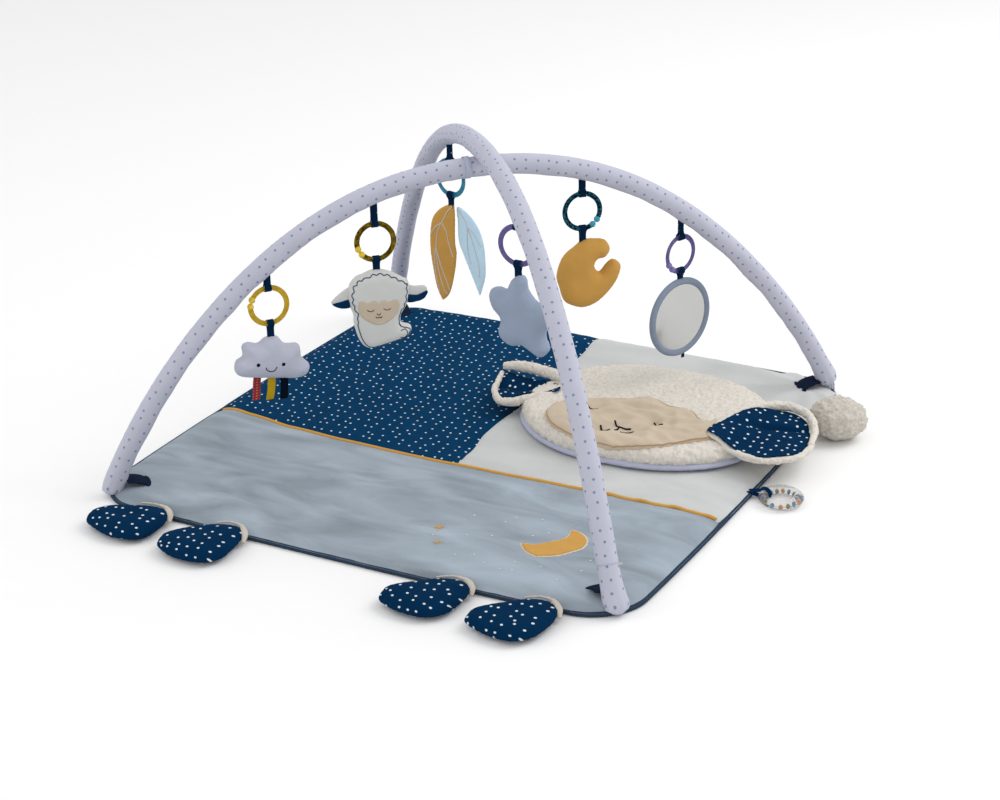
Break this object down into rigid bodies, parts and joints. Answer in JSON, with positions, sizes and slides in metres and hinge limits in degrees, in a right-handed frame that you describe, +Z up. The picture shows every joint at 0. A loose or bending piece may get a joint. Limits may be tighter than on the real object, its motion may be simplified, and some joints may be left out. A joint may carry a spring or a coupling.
{
  "type": "baby activity play gym",
  "caption": "Padded square play mat with crossed sleeved arches, hanging soft toys on link rings, a lamb's-head cushion, hooves, a tail and a rattle ring.",
  "frame": {"origin": "on the floor, under the centre of the square mat", "axes": "+Z up, +X to the right along the front edge that carries the hooves, +Y towards the back edge"},
  "size_m": [0.9963, 1.0172, 0.5074],
  "materials": {
    "grey_velour": "short velour pile",
    "navy_dotted_cotton": "plain weave with white dots",
    "white_velour": "short velour pile",
    "slate_binding": "woven binding tape",
    "wadding": "polyester wadding",
    "mustard_fabric": "brushed fabric",
    "navy_webbing": "woven webbing",
    "lavender_cotton": "plain weave with small grey-blue dots",
    "arch_rod": "glass-fibre rod",
    "yellow_plastic": "moulded",
    "teal_plastic": "moulded",
    "purple_plastic": "moulded",
    "cloud_fabric": "soft knit",
    "ribbon_red": "printed tape",
    "ribbon_yellow": "woven tape",
    "ribbon_navy": "woven tape",
    "sheep_fabric": "soft velour",
    "star_fabric": "soft velour",
    "blue_leaf_fabric": "soft velour",
    "mirror_rim_fabric": "woven",
    "mirror_film": "soft mirror film",
    "sherpa": "curly sherpa pile",
    "face_velour": "short velour pile",
    "clear_plastic": "clear moulded"
  },
  "bodies": {
    "mat": {"mat_backing": "slate_binding", "mat_edge_binding": "slate_binding", "mat_wadding": "wadding", "mat_top_grey_velour": "grey_velour", "mat_top_navy_dotted": "navy_dotted_cotton", "mat_top_white_velour": "white_velour", "seam_piping": "mustard_fabric", "moon_applique": "mustard_fabric", "corner_strap_a": "navy_webbing", "corner_strap_b": "navy_webbing", "corner_strap_c": "navy_webbing", "corner_strap_d": "navy_webbing"},
    "arch_ac": {"arch_ac_sleeve": "lavender_cotton", "arch_ac_rod": "arch_rod", "crossing_tie": "lavender_cotton", "cloud_upper_strap": "navy_webbing", "sheep_upper_strap": "navy_webbing", "moon_upper_strap": "navy_webbing", "mirror_upper_strap": "navy_webbing"},
    "arch_bd": {"arch_bd_sleeve": "lavender_cotton", "arch_bd_rod": "arch_rod", "leaves_upper_strap": "navy_webbing", "star_upper_strap": "navy_webbing"},
    "cloud_link": {"cloud_ring": "yellow_plastic"},
    "cloud_toy": {"cloud_lower_strap": "navy_webbing", "cloud_cushion": "cloud_fabric", "cloud_ribbon_red": "ribbon_red", "cloud_ribbon_yellow": "ribbon_yellow", "cloud_ribbon_navy": "ribbon_navy"},
    "sheep_link": {"sheep_ring": "yellow_plastic"},
    "sheep_toy": {"sheep_lower_strap": "navy_webbing", "sheep_cushion": "sheep_fabric"},
    "moon_link": {"moon_ring": "teal_plastic"},
    "moon_toy": {"moon_lower_strap": "navy_webbing", "moon_cushion": "mustard_fabric"},
    "mirror_link": {"mirror_ring": "purple_plastic"},
    "mirror_toy": {"mirror_lower_strap": "navy_webbing", "mirror_rim": "mirror_rim_fabric", "mirror_disc": "mirror_film"},
    "leaves_link": {"leaves_ring": "teal_plastic"},
    "leaves_toy": {"leaves_lower_strap": "navy_webbing", "leaf_mustard": "mustard_fabric"},
    "leaf_blue": {"leaf_blue": "blue_leaf_fabric"},
    "star_link": {"star_ring": "purple_plastic"},
    "star_toy": {"star_lower_strap": "navy_webbing", "star_cushion": "star_fabric"},
    "head_cushion": {"head_back": "lavender_cotton", "head_fleece": "sherpa", "head_face": "face_velour"},
    "ear_right": {"ear_right": "sherpa", "ear_right_lining": "navy_dotted_cotton"},
    "ear_left": {"ear_left": "sherpa", "ear_left_lining": "navy_dotted_cotton"},
    "hoof_1": {"hoof_1": "navy_dotted_cotton"},
    "hoof_2": {"hoof_2": "navy_dotted_cotton"},
    "hoof_3": {"hoof_3": "navy_dotted_cotton"},
    "hoof_4": {"hoof_4": "navy_dotted_cotton"},
    "tail": {"tail_pompom": "sherpa"},
    "rattle_loop": {"rattle_loop": "navy_webbing"},
    "rattle_ring": {"rattle_ring": "clear_plastic"}
  },
  "joints": [
    {"name": "arches_lift_off", "type": "slide", "parent": "mat", "child": "arch_ac", "axis": [0, 0, 1], "range_m": [0, 0.15]},
    {"name": "arch_scissor", "type": "hinge", "parent": "arch_ac", "child": "arch_bd", "pos_m": [0, 0, 0.477], "axis": [0, 0, 1], "range_deg": [0, 40]},
    {"name": "cloud_link_swing", "type": "hinge", "parent": "arch_ac", "child": "cloud_link", "pos_m": [-0.23971, -0.23971, 0.30725], "axis": [0.6157, 0.788, 0], "range_deg": [-50, 50]},
    {"name": "cloud_strap_slide", "type": "hinge", "parent": "cloud_link", "child": "cloud_toy", "pos_m": [-0.23971, -0.23971, 0.2785], "axis": [0.788, -0.6157, 0], "range_deg": [-22, 22]},
    {"name": "sheep_link_swing", "type": "hinge", "parent": "arch_ac", "child": "sheep_link", "pos_m": [-0.1195, -0.1195, 0.38925], "axis": [0.7071, 0.7071, 0], "range_deg": [-50, 50]},
    {"name": "sheep_strap_slide", "type": "hinge", "parent": "sheep_link", "child": "sheep_toy", "pos_m": [-0.1195, -0.1195, 0.3605], "axis": [0.7071, -0.7071, 0], "range_deg": [-20, 35]},
    {"name": "moon_link_swing", "type": "hinge", "parent": "arch_ac", "child": "moon_link", "pos_m": [0.11597, 0.11597, 0.39875], "axis": [0.7071, 0.7071, 0], "range_deg": [-50, 50]},
    {"name": "moon_strap_slide", "type": "hinge", "parent": "moon_link", "child": "moon_toy", "pos_m": [0.11597, 0.11597, 0.37], "axis": [0.7071, -0.7071, 0], "range_deg": [-35, 8]},
    {"name": "mirror_link_swing", "type": "hinge", "parent": "arch_ac", "child": "mirror_link", "pos_m": [0.23264, 0.23264, 0.30775], "axis": [0.3746, 0.9272, 0], "range_deg": [-50, 50]},
    {"name": "mirror_strap_slide", "type": "hinge", "parent": "mirror_link", "child": "mirror_toy", "pos_m": [0.23264, 0.23264, 0.279], "axis": [0.9272, -0.3746, 0], "range_deg": [-12, 35]},
    {"name": "leaves_link_swing", "type": "hinge", "parent": "arch_bd", "child": "leaves_link", "pos_m": [-0.12445, 0.12445, 0.41925], "axis": [0.9703, -0.2419, 0], "range_deg": [-50, 50]},
    {"name": "leaves_strap_slide", "type": "hinge", "parent": "leaves_link", "child": "leaves_toy", "pos_m": [-0.12445, 0.12445, 0.3905], "axis": [-0.2419, -0.9703, 0], "range_deg": [-35, 35]},
    {"name": "leaf_blue_swing", "type": "hinge", "parent": "leaves_toy", "child": "leaf_blue", "pos_m": [-0.12445, 0.12445, 0.3385], "axis": [-0.2419, -0.9703, 0], "range_deg": [-20, 25]},
    {"name": "star_link_swing", "type": "hinge", "parent": "arch_bd", "child": "star_link", "pos_m": [0.13435, -0.13435, 0.42475], "axis": [0.9998, -0.0174, 0], "range_deg": [-50, 50]},
    {"name": "star_strap_slide", "type": "hinge", "parent": "star_link", "child": "star_toy", "pos_m": [0.13435, -0.13435, 0.396], "axis": [-0.0174, -0.9998, 0], "range_deg": [-35, 35]},
    {"name": "head_cushion_lift_off", "type": "slide", "parent": "mat", "child": "head_cushion", "axis": [0, 0, 1], "range_m": [0, 0.03]},
    {"name": "ear_right_flap", "type": "hinge", "parent": "head_cushion", "child": "ear_right", "pos_m": [0.364, 0.12, 0.065], "axis": [0, -1, 0], "range_deg": [0, 90]},
    {"name": "ear_left_flap", "type": "hinge", "parent": "head_cushion", "child": "ear_left", "pos_m": [0.022, 0.112, 0.059], "axis": [0, 1, 0], "range_deg": [0, 90]},
    {"name": "hoof_1_lift", "type": "hinge", "parent": "mat", "child": "hoof_1", "pos_m": [-0.326, -0.4504, 0.0103], "axis": [-1, 0, 0], "range_deg": [0, 85]},
    {"name": "hoof_2_lift", "type": "hinge", "parent": "mat", "child": "hoof_2", "pos_m": [-0.191, -0.4504, 0.0103], "axis": [-1, 0, 0], "range_deg": [0, 85]},
    {"name": "hoof_3_lift", "type": "hinge", "parent": "mat", "child": "hoof_3", "pos_m": [0.172, -0.4504, 0.0103], "axis": [-1, 0, 0], "range_deg": [0, 85]},
    {"name": "hoof_4_lift", "type": "hinge", "parent": "mat", "child": "hoof_4", "pos_m": [0.291, -0.4504, 0.0103], "axis": [-1, 0, 0], "range_deg": [0, 85]},
    {"name": "tail_lift", "type": "hinge", "parent": "mat", "child": "tail", "pos_m": [0.4506, 0.257, 0.0103], "axis": [0, -1, 0], "range_deg": [0, 40]},
    {"name": "rattle_lift", "type": "hinge", "parent": "mat", "child": "rattle_loop", "pos_m": [0.4503, -0.005, 0.0103], "axis": [0, -1, 0], "range_deg": [0, 25]},
    {"name": "rattle_turn", "type": "hinge", "parent": "rattle_loop", "child": "rattle_ring", "pos_m": [0.505, -0.005, 0.0092], "axis": [0, 0, 1], "continuous": true}
  ]
}
